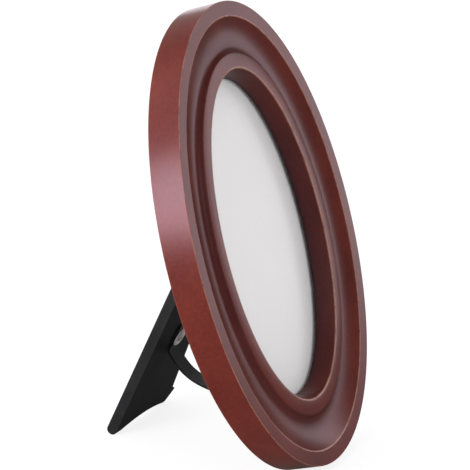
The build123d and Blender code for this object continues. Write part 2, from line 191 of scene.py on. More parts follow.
class LegSettings(PropertyGroup):
    """Sizes of the easel leg and of the stay strap, and the strap's colours."""
    lean: angle("Lean", "How far the leg leans from upright", 26.5)
    thickness: length("Thickness", "Board of the leg", 5.0 * MM)
    front: length("Front", "Front of the leg from the hinge axis", 0.7 * MM)
    top_gap: length("Top gap", "Hinge axis to the top edge", 2.0 * MM)
    top_left: length("Top left", "Left edge at the top, from the middle", 13.0 * MM)
    top_right: length("Top right", "Right edge at the top, from the middle", 15.0 * MM)
    foot_left: length("Foot left", "Left edge at the foot, from the middle", 3.6 * MM)
    foot_right: length("Foot right", "Right end of the sole", 49.5 * MM)
    toe_out: length("Toe", "Outermost point of the side foot", 53.4 * MM)
    toe_rise: length("Toe rise", "Sole up to the toe's lower corner", 4.2 * MM)
    toe_top: length("Toe top", "Sole up to the toe's tip", 8.4 * MM)
    notch_x: length("Notch", "Bottom of the notch above the toe", 49.8 * MM)
    notch_rise: length("Notch rise", "Sole up to the notch", 9.8 * MM)
    arch_left: length("Arch left", "Left end of the hollow sole", 3.0 * MM)
    arch_right: length("Arch right", "Right end of the hollow sole", 47.0 * MM)
    arch_rise: length("Arch rise", "Height of the hollow sole", 2.3 * MM)
    sole_round: length("Sole rounding", "Round of the sole's edges", 2.4 * MM)
    edge_round: length("Edge rounding", "Round of the long edges", 0.5 * MM)
    strap_width: length("Strap width", "Width of the stay strap", 10.0 * MM)
    strap_thickness: length("Strap thickness", "Thickness of the stay strap", 1.0 * MM)
    selvedge: length("Selvedge", "Width of the strap's thicker woven edges", 0.9 * MM)
    strap_middle: share("Strap middle", "How thick the strap is between its edges", 0.86)
    strap_air: length("Strap air", "Strap to what it lies on", 0.1 * MM)
    strap_end: length("Strap end", "Strap beyond the middle of each eyelet", 7.0 * MM)
    board_run: share("Board run", "Strap down the board, as a share of the gap it crosses", 0.17)
    leg_run: share("Leg run", "Strap down the leg, as a share of that gap", 0.13)
    slack_1: share("Slack 1", "First hanging point along the gap", 0.15)
    sag_1: share("Sag 1", "First hanging point below the gap", 0.31)
    slack_2: share("Slack 2", "Second hanging point along the gap", 0.5)
    sag_2: share("Sag 2", "Second hanging point below the gap", 0.375)
    slack_3: share("Slack 3", "Third hanging point along the gap", 0.86)
    sag_3: share("Sag 3", "Third hanging point below the gap", 0.315)
    strap: colour("Strap", "Black woven strap", (0.006, 0.007, 0.007))
    strap_light: colour("Strap weave", "Light threads of the strap", (0.026, 0.032, 0.031))


class HardwareSettings(PropertyGroup):
    """Sizes and colours of the hinge, eyelets, buttons, screws and hanger."""
    barrel: length("Hinge lift", "Hinge axis above the board", 1.8 * MM)
    hinge_width: length("Hinge width", "Length of the hinge barrel", 24.0 * MM)
    knuckles: IntProperty(name="Knuckles", description="Knuckles of the hinge", default=5, min=3)
    knuckle: length("Knuckle", "Radius of the hinge barrel", 1.5 * MM)
    soft: length("Soft edges", "Softened edges of the metal pieces", 0.12 * MM)
    board: length("Board", "Thickness of the easel board", 2.1 * MM)
    knuckle_gap: length("Knuckle gap", "Gap between two knuckles", 0.3 * MM)
    leaf: length("Leaf", "Thickness of each hinge leaf", 0.8 * MM)
    leaf_length: length("Leaf length", "Axis to the end of each leaf", 14.0 * MM)
    leaf_start: length("Leaf start", "Axis to where the full width starts", 2.2 * MM)
    leaf_corner: length("Leaf corner", "Round corners of each leaf", 2.0 * MM)
    stop: length("Stop", "Tails that meet the fixed leaf", 5.0 * MM)
    stop_air: length("Stop air", "Air between tail and fixed leaf", 0.3 * MM)
    pin: length("Pin", "Radius of the hinge pin", 0.75 * MM)
    pin_overhang: length("Pin overhang", "Pin beyond the barrel", 0.6 * MM)
    rivet_head: length("Rivet head", "Radius of each rivet head", 2.3 * MM)
    rivet_height: length("Rivet height", "Height of each rivet head", 0.8 * MM)
    rivet_flush: length("Rivet end", "Radius of each flush rivet end", 2.0 * MM)
    rivet_clinch: length("Rivet clinch", "Depth of each flush rivet end", 0.5 * MM)
    rivet_shank: length("Rivet shank", "Radius of each rivet shank", 1.2 * MM)
    rivet_spread: length("Rivet spread", "Between the rivets of a leaf", 14.0 * MM)
    rivet_reach: length("Rivet reach", "Hinge axis to the rivets", 10.0 * MM)
    eyelet: length("Eyelet", "Radius of each eyelet", 4.8 * MM)
    bore: length("Bore", "Radius of each eyelet's bore", 2.75 * MM)
    eyelet_wall: length("Eyelet wall", "Wall of each eyelet's barrel", 0.4 * MM)
    eyelet_lip: length("Eyelet lip", "Height of each rolled lip", 0.7 * MM)
    button_swing: angle("Button swing", "Buttons from the widest line of the oval", 40)
    button_play: length("Button play", "Play of each button round its screw", 0.08 * MM)
    button_width: length("Button width", "Width of each turn button", 8.0 * MM)
    button_reach: length("Button reach", "Screw to the tip of each button", 13.0 * MM)
    button: length("Button", "Thickness of each turn button", 1.0 * MM)
    air: length("Button air", "Air on both sides of each button", 0.3 * MM)
    screw_head: length("Screw head", "Radius of each screw head", 2.8 * MM)
    screw_height: length("Screw height", "Height of each screw head", 1.5 * MM)
    screw_slot: length("Screw slot", "Width and depth of each cross slot", 0.7 * MM)
    screw: length("Screw", "Radius of each screw", 1.2 * MM)
    screw_depth: length("Screw length", "Length of each screw under its head", 9.6 * MM)
    hanger_length: length("Hanger", "Length of the wall hanger", 45.0 * MM)
    hanger_width: length("Hanger width", "Width of the wall hanger", 9.0 * MM)
    hanger: length("Hanger plate", "Thickness of the wall hanger", 0.9 * MM)
    hanger_raise: length("Hanger raise", "Middle of the hanger off the wood", 1.5 * MM)
    hanger_foot: length("Hanger foot", "Flat end that is nailed down", 8.0 * MM)
    hanger_slope: length("Hanger slope", "Length of each slope", 3.0 * MM)
    teeth: IntProperty(name="Teeth", description="Notches of the wall hanger", default=9, min=1)
    tooth_depth: length("Tooth depth", "Depth of each notch", 1.6 * MM)
    tooth_pitch: length("Tooth pitch", "Between two notches", 2.4 * MM)
    nail: length("Nail", "Radius of each nail", 0.7 * MM)
    nail_depth: length("Nail length", "Length of each nail under its head", 7.9 * MM)
    nail_head: length("Nail head", "Radius of each nail head", 1.6 * MM)
    nail_height: length("Nail height", "Height of each nail head", 0.5 * MM)
    steel: colour("Steel", "Plated steel", (0.55, 0.55, 0.56))
    nickel: colour("Nickel", "Satin nickel of the eyelets", (0.86, 0.85, 0.83))
    brass: colour("Brass", "Brassed steel of the hanger", (0.62, 0.46, 0.22))


class StageSettings(PropertyGroup):
    """Camera, floor, backdrop and lamps."""
    camera_place: location("Camera", "Where the camera stands", (-0.9144, -0.4216, 0.3599))
    camera_round: angle("Camera turn", "Camera round from the front, seen from above", -65.599)
    camera_rise: angle("Camera rise", "How far the camera looks down", 14.41)
    lens: FloatProperty(name="Lens", description="Focal length of the camera in mm", default=177.72,
                        unit="CAMERA")
    floor: length("Floor", "Side of the floor", 16.0)
    floor_plain: share("Floor", "How pale the floor is as light falls back from it", 0.8)
    floor_tone: share("Floor tone", "Part of the floor that shows the shadow", 0.22)
    floor_glow: share("Floor glow", "White that the camera sees in the floor", 0.84)
    sky: share("Sky light", "Strength of the light from all round", 0.75)
    dim: share("Dim side", "What mirrors show of the dim side of the studio", 0.06)
    white_side: location("White side", "Way to the white backdrop that mirrors show", (-0.6, 0.8, 0.1))
    white_start: facing("White start", "Where the backdrop starts, that way", 0.4)
    white_full: facing("White full", "Where the backdrop is all white", 0.8)
    pale_side: location("Pale side", "Way to the pale backdrop behind on the right", (0.5, 0.87, 0))
    pale_start: facing("Pale start", "Where that side starts to be pale", 0.6)
    pale_full: facing("Pale full", "Where that side is palest", 0.8)
    pale_mirror: share("Pale mirror", "White that mirrors show on that side", 0.4)
    floor_mirror: share("Floor mirror", "White that mirrors show in the near floor", 0.1)
    near_floor: length("Near floor", "How far out mirrors show the near floor", 0.3)
    far_floor: length("Far floor", "How far out mirrors show it dim", 0.45)
    strip_place: location("Strip place", "Where the strip light stands", (1.04, -0.605, 0.36))
    strip_width: length("Strip width", "Width of the strip light", 0.26)
    strip_height: length("Strip height", "Height of the strip light", 0.9)
    strip_power: power("Strip power", "Power of the strip light", 1.9)
    rim_place: location("Rim panel", "Where the panel behind on the right stands", (1.07, 0.48, 0.25))
    rim_width: length("Rim width", "Width of the panel behind on the right", 0.38)
    rim_height: length("Rim height", "Height of the panel behind on the right", 0.8)
    rim_power: power("Rim power", "Power of the panel behind on the right", 1.6)
    left_place: location("Left panel", "Where the panel on the left stands", (-0.45, 0.22, 0.22))
    left_width: length("Left width", "Width of the panel on the left", 0.22)
    left_height: length("Left height", "Height of the panel on the left", 0.24)
    left_power: power("Left power", "Power of the panel on the left", 1.25)
    front_place: location("Front panel", "Where the panel in front stands", (-0.19, -1.07, 0.62))
    front_width: length("Front width", "Width of the panel in front", 0.75)
    front_height: length("Front height", "Height of the panel in front", 0.5)
    front_power: power("Front power", "Power of the panel in front", 0.7)
    side_place: location("Side light", "Where the light from the side stands", (-1.35, 0.3, 0.7))
    side_size: length("Side size", "Width and height of the light from the side", 0.8)
    side_power: power("Side power", "Power of the light from the side", 8.0)
    warmth: colour("Light colour", "Colour of the panels", (1.0, 0.94, 0.98))


def settings(group):
    """The values of one group, such as moulding or stage."""
    return getattr(bpy.context.scene, "oval_" + group)


def place_of(origin, face_way):
    """Matrix with x across, y up the frame or the leg, and z towards the front."""
    upward = face_way.cross(ACROSS)
    turn = Matrix((ACROSS, upward, face_way)).transposed()
    return Matrix.Translation(origin) @ turn.to_4x4()


def frame_place():
    """Middle of the oval at the front of the moulding."""
    return place_of(BACK_MIDDLE + FACE_WAY * settings("moulding").depth, FACE_WAY)


def hinge_place():
    """Middle of the hinge's axis, turned as the frame is."""
    return place_of(HINGE_POINT, FACE_WAY)


def leg_place():
    """Middle of the hinge's axis, turned as the leg is."""
    lean = settings("leg").lean
    return place_of(HINGE_POINT, Vector((0, -cos(lean), -sin(lean))))


def at(place, x, y, z):
    """A place moved by its own x, y and z."""
    return place @ Matrix.Translation((x, y, z))


def arc(start, middle, end, count):
    """Points along the circle through three points, the first left out."""
    (ax, ay), (bx, by), (cx, cy) = start, middle, end
    scale = 2 * (ax * (by - cy) + bx * (cy - ay) + cx * (ay - by))
    ux = ((ax ** 2 + ay ** 2) * (by - cy) + (bx ** 2 + by ** 2) * (cy - ay)
          + (cx ** 2 + cy ** 2) * (ay - by)) / scale
    uy = ((ax ** 2 + ay ** 2) * (cx - bx) + (bx ** 2 + by ** 2) * (ax - cx)
          + (cx ** 2 + cy ** 2) * (bx - ax)) / scale
    first = atan2(ay - uy, ax - ux)
    sweep = (atan2(cy - uy, cx - ux) - first) % (2 * pi)
    through = (atan2(by - uy, bx - ux) - first) % (2 * pi)
    if through > sweep:
        sweep -= 2 * pi
    radius = hypot(ax - ux, ay - uy)
    return [(ux + radius * cos(first + sweep * step / count), uy + radius * sin(first + sweep * step / count))
            for step in range(1, count + 1)]


def level_arc(level, end, count):
    """Points along the circle that lies level at its first point, which is left out."""
    run, rise = end[0] - level[0], end[1] - level[1]
    radius = (run ** 2 + rise ** 2) / (2 * abs(rise))
    sweep = 2 * atan2(abs(rise), abs(run))
    side, way = (1 if run > 0 else -1), (1 if rise > 0 else -1)
    return [(level[0] + side * radius * sin(sweep * step / count),
             level[1] + way * radius * (1 - cos(sweep * step / count))) for step in range(1, count + 1)]


def chain(points, closed=True):
    """Bmesh with a line of edges through points (x, y, z)."""
    bm = bmesh.new()
    verts = [bm.verts.new(point) for point in points]
    pairs = list(zip(verts, verts[1:]))
    if closed:
        pairs.append((verts[-1], verts[0]))
    for pair in pairs:
        bm.edges.new(pair)
    return bm


def turn_round(bm, facets):
    """Turn a line of edges right round z."""
    bmesh.ops.spin(bm, geom=bm.verts[:] + bm.edges[:], cent=(0, 0, 0), axis=(0, 0, 1), angle=2 * pi,
                   steps=facets, use_merge=True)


def spun(profile, facets, closed=False):
    """Solid turned round z from a line of (radius, height) points."""
    bm = chain([(radius, 0, height) for radius, height in profile], closed)
    turn_round(bm, facets)
    bmesh.ops.remove_doubles(bm, verts=bm.verts, dist=FINE)
    bmesh.ops.dissolve_degenerate(bm, edges=bm.edges, dist=FINE)
    return bm


def of_kind(items, kind):
    """The points, edges or faces among a mix of them."""
    return [item for item in items if isinstance(item, kind)]


def face_outwards(bm):
    """Turn the faces of a closed shape outwards, also where it is long and bent, as the strap is."""
    bmesh.ops.recalc_face_normals(bm, faces=bm.faces)
    if bm.calc_volume(signed=True) < 0:
        bmesh.ops.reverse_faces(bm, faces=bm.faces)


def raised(bm, height):
    """A flat face drawn up into a plate."""
    top = bmesh.ops.extrude_face_region(bm, geom=bm.faces[:])["geom"]
    bmesh.ops.translate(bm, vec=(0, 0, height), verts=of_kind(top, bmesh.types.BMVert))
    face_outwards(bm)
    return bm


def plate(outline, low, high):
    """Flat plate with an outline of (x, y) points, between two heights."""
    bm = chain([(x, y, low) for x, y in outline])
    bm.faces.new(bm.verts[:])
    return raised(bm, high - low)


def split(bm, point, normal, **choices):
    """Edges along a plane through a shape, made where it had none."""
    geometry = bm.verts[:] + bm.edges[:] + bm.faces[:]
    made = bmesh.ops.bisect_plane(bm, geom=geometry, dist=FINE, plane_co=point, plane_no=normal, **choices)
    return of_kind(made["geom_cut"], bmesh.types.BMEdge)


def bevel(bm, edges, offset, segments=3):
    """Round these edges off."""
    bmesh.ops.bevel(bm, geom=edges, offset=offset, offset_type="OFFSET", affect="EDGES",
                    segments=segments, profile=0.5, material=-1, clamp_overlap=True)


def sharp_edges(bm, turn=50):
    """Edges where the surface turns by more than this many degrees."""
    return [edge for edge in bm.edges if edge.is_manifold and edge.calc_face_angle(0) > radians(turn)]


def mesh_of(name, bm):
    """Mesh with the shape of a bmesh, which is freed."""
    mesh = bpy.data.meshes.new(name)
    bm.to_mesh(mesh)
    bm.free()
    return mesh


def placed(name, data):
    """Object in the scene for a mesh, a lamp or a camera."""
    obj = bpy.data.objects.new(name, data)
    bpy.context.scene.collection.objects.link(obj)
    return obj


def join(*parts):
    """One bmesh that holds several."""
    whole = bmesh.new()
    for bm in parts:
        mesh = mesh_of("part", bm)
        whole.from_mesh(mesh)
        bpy.data.meshes.remove(mesh)
    return whole


def moved(bm, matrix):
    """The shape after a move or a turn."""
    bm.transform(matrix)
    return bm


def cut(bm, cutter):
    """The shape with the cutter's shape taken away."""
    body = placed("body", mesh_of("body", bm))
    tool = placed("tool", mesh_of("tool", cutter))
    modifier = body.modifiers.new("cut", "BOOLEAN")
    modifier.operation = "DIFFERENCE"
    modifier.solver = "EXACT"
    modifier.object = tool
    graph = bpy.context.evaluated_depsgraph_get()
    result = bpy.data.meshes.new_from_object(body.evaluated_get(graph), depsgraph=graph)
    made = bmesh.new()
    made.from_mesh(result)
    meshes = (body.data, tool.data, result)
    for item in (body, tool):
        bpy.data.objects.remove(item)
    for mesh in meshes:
        bpy.data.meshes.remove(mesh)
    return made


def rod(radius, low, high):
    """Round bar up z between two heights."""
    return spun([(0, low), (radius, low), (radius, high), (0, high)], SCREW_FACETS)


def make_piece(name, bm, place, finish, body, nodes, weighted=False, crisp=40):
    """Object from a bmesh, put in place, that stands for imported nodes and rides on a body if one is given.

    A weighted piece shades its flat faces flat. Edges that turn by more than crisp degrees stay crisp."""
    face_outwards(bm)
    bm.transform(place)
    mesh = mesh_of(name, bm)
    mesh.shade_smooth()
    mesh.set_sharp_from_angle(angle=radians(crisp))
    mesh.materials.append(finish)
    piece = placed(name, mesh)
    if weighted:
        modifier = piece.modifiers.new("flat faces", "WEIGHTED_NORMAL")
        modifier.keep_sharp = True
        modifier.weight = 100
    if body:
        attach(piece, body)
    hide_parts(*nodes)
    return piece


def opaque(value):
    """A colour with a fourth number of 1, or a node's socket as it is."""
    return value if isinstance(value, bpy.types.NodeSocket) else (*value, 1)


def grey(tone):
    """A colour without a hue."""
    return (tone, tone, tone)


class Nodes:
    """Short calls for what all node trees share."""

    def __init__(self, tree):
        self.tree = tree

    def feed(self, target, value):
        """Join another node's socket to this one, or write a value in it."""
        if isinstance(value, bpy.types.NodeSocket):
            self.tree.links.new(value, target)
        else:
            target.default_value = value

    def add(self, kind, inputs=None, **choices):
        """New node with these choices, and its inputs fed by their names or numbers."""
        node = self.tree.nodes.new(kind)
        for name, value in choices.items():
            setattr(node, name, value)
        for key, value in (inputs or {}).items():
            self.feed(node.inputs[key], value)
        return node

    def ramp(self, value, low, high, dark=0.0, light=1.0):
        """Value stretched from low..high to dark..light."""
        inputs = {"Value": value, "From Min": low, "From Max": high, "To Min": dark, "To Max": light}
        return self.add("ShaderNodeMapRange", inputs, clamp=True).outputs["Result"]

    def math(self, operation, first, second=0.0):
        """Result of an operation, the second value left out where it takes only one."""
        return self.add("ShaderNodeMath", {0: first, 1: second}, operation=operation).outputs[0]

    def average(self, first, second, share_of_second):
        """Two values added up by their shares."""
        return self.math("ADD", self.math("MULTIPLY", first, 1 - share_of_second),
                         self.math("MULTIPLY", second, share_of_second))

    def mix(self, factor, first, second):
        """Colour between two colours, each a socket or three numbers."""
        inputs = {0: factor, 6: opaque(first), 7: opaque(second)}
        return self.add("ShaderNodeMix", inputs, data_type="RGBA").outputs[2]

    def mix_shaders(self, factor, first, second):
        """Shader between two nodes' shaders."""
        inputs = {0: factor, 1: first.outputs[0], 2: second.outputs[0]}
        return self.add("ShaderNodeMixShader", inputs).outputs[0]


class Finish(Nodes):
    """A material with short calls for what the finishes share."""

    def __init__(self, name, roughness=0.5, metallic=0.0, gloss=0.5):
        self.material = bpy.data.materials.new(name)
        self.material.use_nodes = True
        super().__init__(self.material.node_tree)
        self.shader = self.tree.nodes["Principled BSDF"]
        self.set("Roughness", roughness)
        self.set("Metallic", metallic)
        self.set("Specular IOR Level", gloss)
        self.place = self.add("ShaderNodeTexCoord").outputs["Object"]

    def set(self, name, value):
        """Feed an input of the finish's shader, such as its Base Color."""
        self.feed(self.shader.inputs[name], value)

    def show(self, shader):
        """Show this shader in place of the one that the material starts with."""
        self.feed(self.tree.nodes["Material Output"].inputs["Surface"], shader)
        self.tree.nodes.remove(self.shader)

    def scaled(self, scale, turn=(0, 0, 0)):
        """Place on the piece, scaled and turned. A pattern is drawn out where the scale is under 1."""
        inputs = {"Vector": self.place, "Scale": scale, "Rotation": turn}
        return self.add("ShaderNodeMapping", inputs).outputs["Vector"]

    def noise(self, size, detail=2.0, vector=None, roughness=0.5):
        """Noise whose blotches are about size across."""
        inputs = {"Vector": vector or self.place, "Scale": 1 / size, "Detail": detail, "Roughness": roughness}
        return self.add("ShaderNodeTexNoise", inputs).outputs["Fac"]

    def attribute(self, name):
        """A value that the mesh carries at its points."""
        return self.add("ShaderNodeAttribute", attribute_name=name).outputs["Fac"]

    def bump(self, height, depth, strength):
        """Fine relief of this depth."""
        relief = self.add("ShaderNodeBump", {"Height": height, "Distance": depth, "Strength": strength})
        self.set("Normal", relief.outputs["Normal"])


def stained_wood():
    """Dark red stain under a satin lacquer, with rubbed edges and painted shade in its creases."""
    values = settings("moulding")
    wood = Finish("stained_wood")
    wood.set("Specular Tint", opaque(values.lacquer))
    painted_shade = wood.attribute("shade")
    mottle = wood.noise(size=1.6 * MM, detail=4, roughness=0.6)
    cloud = wood.noise(size=28 * MM)
    pores = wood.noise(size=0.5 * MM, vector=wood.scaled((1, 1, 0.16)))
    tone = wood.ramp(wood.average(mottle, cloud, 0.5), low=0.36, high=0.64)
    body = wood.mix(tone, values.stain_dark, values.stain)
    body = wood.mix(wood.ramp(pores, low=0.60, high=0.72, light=0.55), body, values.stain_dark)
    # Painted shade: the creases, the cove and the inner wall darkened towards the crease colour
    body = wood.mix(painted_shade, body, values.crease_shade_colour)
    patchy = wood.ramp(wood.noise(size=5 * MM, detail=3), low=0.36, high=0.52, dark=0.6)
    specks = wood.ramp(wood.noise(size=1.1 * MM), low=0.62, high=0.68, dark=1.0, light=0.25)
    worn = wood.math("MULTIPLY", wood.math("MULTIPLY", wood.attribute("wear"), patchy), specks)
    wood.set("Base Color", wood.mix(worn, body, values.rubbed))
    satin = wood.ramp(mottle, low=0.3, high=0.7, dark=0.285, light=0.305)
    duller = wood.math("MULTIPLY", painted_shade, 0.15)
    wood.set("Roughness", wood.math("ADD", satin, duller))
    relief = wood.math("ADD", mottle, wood.math("MULTIPLY", pores, 0.6))
    wood.bump(relief, depth=0.008 * MM, strength=0.4)
    return wood.material


def black_paper():
    """Fine grained black paper on fibreboard."""
    values = settings("sheets")
    paper = Finish("black_paper", gloss=0.3)
    grain = paper.noise(size=0.45 * MM, detail=3, roughness=0.7)
    cloud = paper.noise(size=14 * MM)
    tone = paper.ramp(paper.average(grain, cloud, 0.3), low=0.38, high=0.66)
    paper.set("Base Color", paper.mix(tone, values.paper, values.paper_light))
    paper.set("Roughness", paper.ramp(grain, low=0.3, high=0.7, dark=0.48, light=0.62))
    paper.bump(grain, depth=0.06 * MM, strength=0.6)
    return paper.material


def card(name, colour_value, fleck):
    """Matt card with a faint fibre, whose darkest flecks keep this share of its colour."""
    sheet = Finish(name, roughness=0.75)
    fibre = sheet.noise(size=0.5 * MM, detail=3, vector=sheet.scaled((1, 1, 0.4)))
    darker = [channel * fleck for channel in colour_value]
    sheet.set("Base Color", sheet.mix(sheet.ramp(fibre, low=0.35, high=0.65), darker, colour_value))
    sheet.bump(fibre, depth=0.01 * MM, strength=0.4)
    return sheet.material


def metal(name, colour_value, smooth, rough, bare=1.0):
    """Plated metal with fine rubbed marks and slightly dull patches.

    Its roughness runs from smooth to rough, and bare says how much of it is metal."""
    plated = Finish(name, metallic=bare)
    rubbing = plated.noise(size=0.35 * MM, detail=3, vector=plated.scaled((1, 0.25, 1), turn=(0, 0, 0.6)))
    cloud = plated.noise(size=4 * MM)
    duller = [channel * 0.8 for channel in colour_value]
    plated.set("Base Color", plated.mix(plated.ramp(cloud, low=0.35, high=0.65), duller, colour_value))
    wear = plated.average(rubbing, cloud, 0.5)
    plated.set("Roughness", plated.ramp(wear, low=0.35, high=0.65, dark=smooth, light=rough))
    plated.bump(rubbing, depth=0.01 * MM, strength=0.35)
    return plated.material


def clear_glass():
    """Thin clear pane: tinted where it lets light through, with a mirror sheen on its front."""
    pane = Finish("clear_glass")
    clear = pane.add("ShaderNodeBsdfTransparent", {"Color": opaque(settings("sheets").glass_tint)})
    gloss = pane.add("ShaderNodeBsdfGlossy", {"Roughness": 0.25})
    fresnel = pane.add("ShaderNodeFresnel", {"IOR": 1.2})
    outside = pane.math("SUBTRACT", 1.0, pane.add("ShaderNodeNewGeometry").outputs["Backfacing"])
    sheen = pane.math("MULTIPLY", fresnel.outputs["Fac"], outside)
    pane.show(pane.mix_shaders(sheen, clear, gloss))
    return pane.material


def woven_strap():
    """Ribbed black webbing, its threads laid by the strap's own map."""
    values = settings("leg")
    tape = Finish("woven_strap", roughness=0.7, gloss=0.3)
    lay = tape.add("ShaderNodeUVMap", uv_map="lay").outputs["UV"]
    across, along = tape.add("ShaderNodeSeparateXYZ", {"Vector": lay}).outputs[:2]
    thread_pitch = 0.75 * MM
    ribs, warp = [tape.math("SINE", tape.math("MULTIPLY", way, 2 * pi / thread_pitch))
                  for way in (along, across)]
    weave = tape.ramp(tape.math("MULTIPLY", ribs, warp), low=-1, high=1)
    fuzz = tape.noise(size=0.3 * MM)
    tone = tape.average(weave, fuzz, 0.4)
    inner = values.strap_width / 2 - values.selvedge
    fade = 0.3 * values.selvedge
    middle = tape.ramp(tape.math("ABSOLUTE", across), low=inner - fade, high=inner + fade, dark=1, light=0.15)
    lit = tape.math("MULTIPLY", tape.ramp(tone, low=0.2, high=0.8), middle)
    tape.set("Base Color", tape.mix(lit, values.strap, values.strap_light))
    tape.set("Sheen Weight", 0.1)
    tape.bump(tone, depth=0.12 * MM, strength=0.7)
    return tape.material


def toned(points, wear=0, shade=0):
    """Points of a section with how rubbed the wood is there and how much shade is painted on it."""
    return [(x, y, wear, shade) for x, y in points]


def moulding_section(values):
    """Section of the moulding as (in from the rim, back from the front, wear, shade), in order round it."""
    reach = values.edge_reach
    slope = values.land_depth / values.land_width
    rim_end = (values.land_width, values.land_depth)
    low = (values.cove_low, values.cove_depth)
    bead_start = (values.bead_start, values.bead_depth)
    bead_end = (values.bead_end, values.bead_end_depth)
    foot = tuple(a + (b - a) * values.cove_foot for a, b in zip(low, bead_start))
    crown = ((bead_start[0] + bead_end[0]) / 2, (bead_start[1] + bead_end[1]) / 2 - values.bead_crown)
    shade_span = values.cove_low - values.land_width
    wall = values.face_width - values.bead_end
    fall = values.glass_depth - values.bead_end_depth
    rebate = values.face_width - values.lip_width

    side = [(values.side_draft * 0.9, values.depth - reach), (values.side_draft / 2, values.depth / 2),
            (0, reach)]
    land = [(reach, reach * slope), (values.land_width / 2, values.land_depth / 2),
            (values.land_width - reach, values.land_depth - reach * slope)]
    scoop = level_arc(low, rim_end, count=20)[::-1][1:] + [low]
    rise = level_arc(low, foot, count=6)
    shoulder = level_arc(bead_start, foot, count=6)[::-1][1:] + [bead_start]
    bead = arc(bead_start, crown, bead_end, count=6)[:-1]
    back = [(rebate * part, values.depth) for part in (0.6, 0.25)]

    section = toned([(values.side_draft, values.depth)], wear=OUTER_BACK_WEAR) + toned(side)
    section += toned([(0, 0)], wear=1) + toned(land) + toned([rim_end], wear=1)
    # Painted shade, deepening from the rim into the cove, and on the rise and the shoulder up to the bead
    section += [(x, y, 0, COVE_PAINTED_SHADE * (x - values.land_width) / shade_span) for x, y in scoop]
    section += toned(rise, shade=COVE_PAINTED_SHADE) + toned(shoulder, shade=SHOULDER_PAINTED_SHADE)
    section += toned(bead) + toned([bead_end], wear=1)
    # Painted shade down the inner wall, full in the rebate under the glass
    section += [(values.bead_end + wall * down, values.bead_end_depth + fall * down, 0, shade)
                for down, shade in WALL_PAINTED_SHADE]
    section += toned([(values.face_width, values.glass_depth), (rebate, values.glass_depth)], shade=1)
    section += toned([(rebate, values.depth)], wear=INNER_BACK_WEAR, shade=INNER_BACK_PAINTED_SHADE) + toned(back)
    return section


def section_line(section, radius):
    """Line of edges along a section that starts at this radius, with its wear and shade."""
    bm = chain([(radius - inward, 0, -back) for inward, back, wear, shade in section])
    wear_layer = bm.verts.layers.float.new("wear")
    shade_layer = bm.verts.layers.float.new("shade")
    for vert, (inward, back, wear, shade) in zip(bm.verts, section):
        vert[wear_layer] = wear
        vert[shade_layer] = shade
    return bm


def draw_oval(bm, half_width, half_height):
    """Draw a round ring out to an oval, with its section square to the oval all round."""
    for vert in bm.verts:
        turn = atan2(vert.co.y, vert.co.x)
        out = hypot(vert.co.x, vert.co.y) - half_width
        normal = Vector((half_height * cos(turn), half_width * sin(turn))).normalized()
        vert.co.x = half_width * cos(turn) + out * normal.x
        vert.co.y = half_height * sin(turn) + out * normal.y


def oval_moulding():
    """Turned ring of stained wood, planed flat where it stands on the floor."""
    values = settings("moulding")
    half_width = values.rebate_width / 2
    rim = values.face_width - values.lip_width
    bm = section_line(moulding_section(values), half_width + rim)
    turn_round(bm, MOULDING_FACETS)
    draw_oval(bm, half_width, values.rebate_height / 2)
    face_outwards(bm)
    wear = bm.verts.layers.float["wear"]
    rubbed = [edge for edge in bm.edges if all(vert[wear] == 1 for vert in edge.verts)]
    bevel(bm, rubbed, values.edge_round)
    bm.transform(frame_place())
    planed = split(bm, point=(0, 0, 0), normal=(0, 0, -1), clear_outer=True)
    bmesh.ops.edgeloop_fill(bm, edges=planed)
    make_piece("oval_moulding", bm, Matrix.Identity(4), stained_wood(), "frame", ["moulding"])


def dress(node, finish):
    """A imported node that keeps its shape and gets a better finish."""
    piece = frame["nodes"][node]
    piece.data.materials.clear()
    piece.data.materials.append(finish)


def glass_pane():
    """Oval pane with ground edges, a hair clear of the insert behind it."""
    moulding = settings("moulding")
    values = settings("sheets")
    half_width = moulding.rebate_width / 2 - values.play
    half_height = moulding.rebate_height / 2 - values.play
    bm = bmesh.new()
    bmesh.ops.create_circle(bm, cap_ends=True, segments=GLASS_FACETS, radius=1)
    bmesh.ops.scale(bm, vec=(half_width, half_height, 1), verts=bm.verts)
    raised(bm, values.glass - values.hair)
    bevel(bm, sharp_edges(bm), values.ground, segments=2)
    place = at(frame_place(), 0, 0, values.hair - moulding.glass_depth - values.glass)
    make_piece("clear_pane", bm, place, clear_glass(), "frame", ["glass_pane"], crisp=20)


def sheets():
    """The glass, and a finish for the sheets behind it."""
    values = settings("sheets")
    glass_pane()
    dress("blank_insert", card("pale_card", values.insert, fleck=0.97))
    dress("filler_card", card("grey_card", values.filler, fleck=0.8))
    dress("easel_back", black_paper())


def leg_reach():
    """Hinge axis to the sole, so that the rounded sole stands on the floor."""
    leg = settings("leg")
    sole_front = leg.sole_round - leg.front
    return (HINGE_POINT.z + sole_front * sin(leg.lean) - leg.sole_round) / cos(leg.lean) + leg.sole_round


def eyelet_spot():
    """Middle of the leg's eyelet in the leg's own place. The board's eyelet is as far from the hinge."""
    low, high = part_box("leg_eyelet")
    middle = leg_place().inverted() @ ((low + high) / 2)
    return middle.x, middle.y


def leg_outline(leg, sole):
    """Outline of the leg as (x, y) points: notch, top, long left edge, hollow sole and toe."""
    arch_start, arch_end = (leg.arch_left, sole), (leg.arch_right, sole)
    arch_middle = ((leg.arch_left + leg.arch_right) / 2, sole + leg.arch_rise)
    outline = [(leg.notch_x, sole + leg.notch_rise), (leg.top_right, -leg.top_gap),
               (-leg.top_left, -leg.top_gap), (-leg.foot_left, sole), arch_start]
    outline += arc(arch_start, arch_middle, arch_end, count=20)
    outline += [(leg.foot_right, sole), (leg.toe_out, sole + leg.toe_rise), (leg.toe_out, sole + leg.toe_top)]
    return outline


def sole_edges(bm, low):
    """Edges of the leg's front and back along its sole, below this height."""
    return [edge for edge in sharp_edges(bm)
            if all(vert.co.y < low for vert in edge.verts)
            and abs(edge.verts[0].co.z - edge.verts[1].co.z) < FINE]


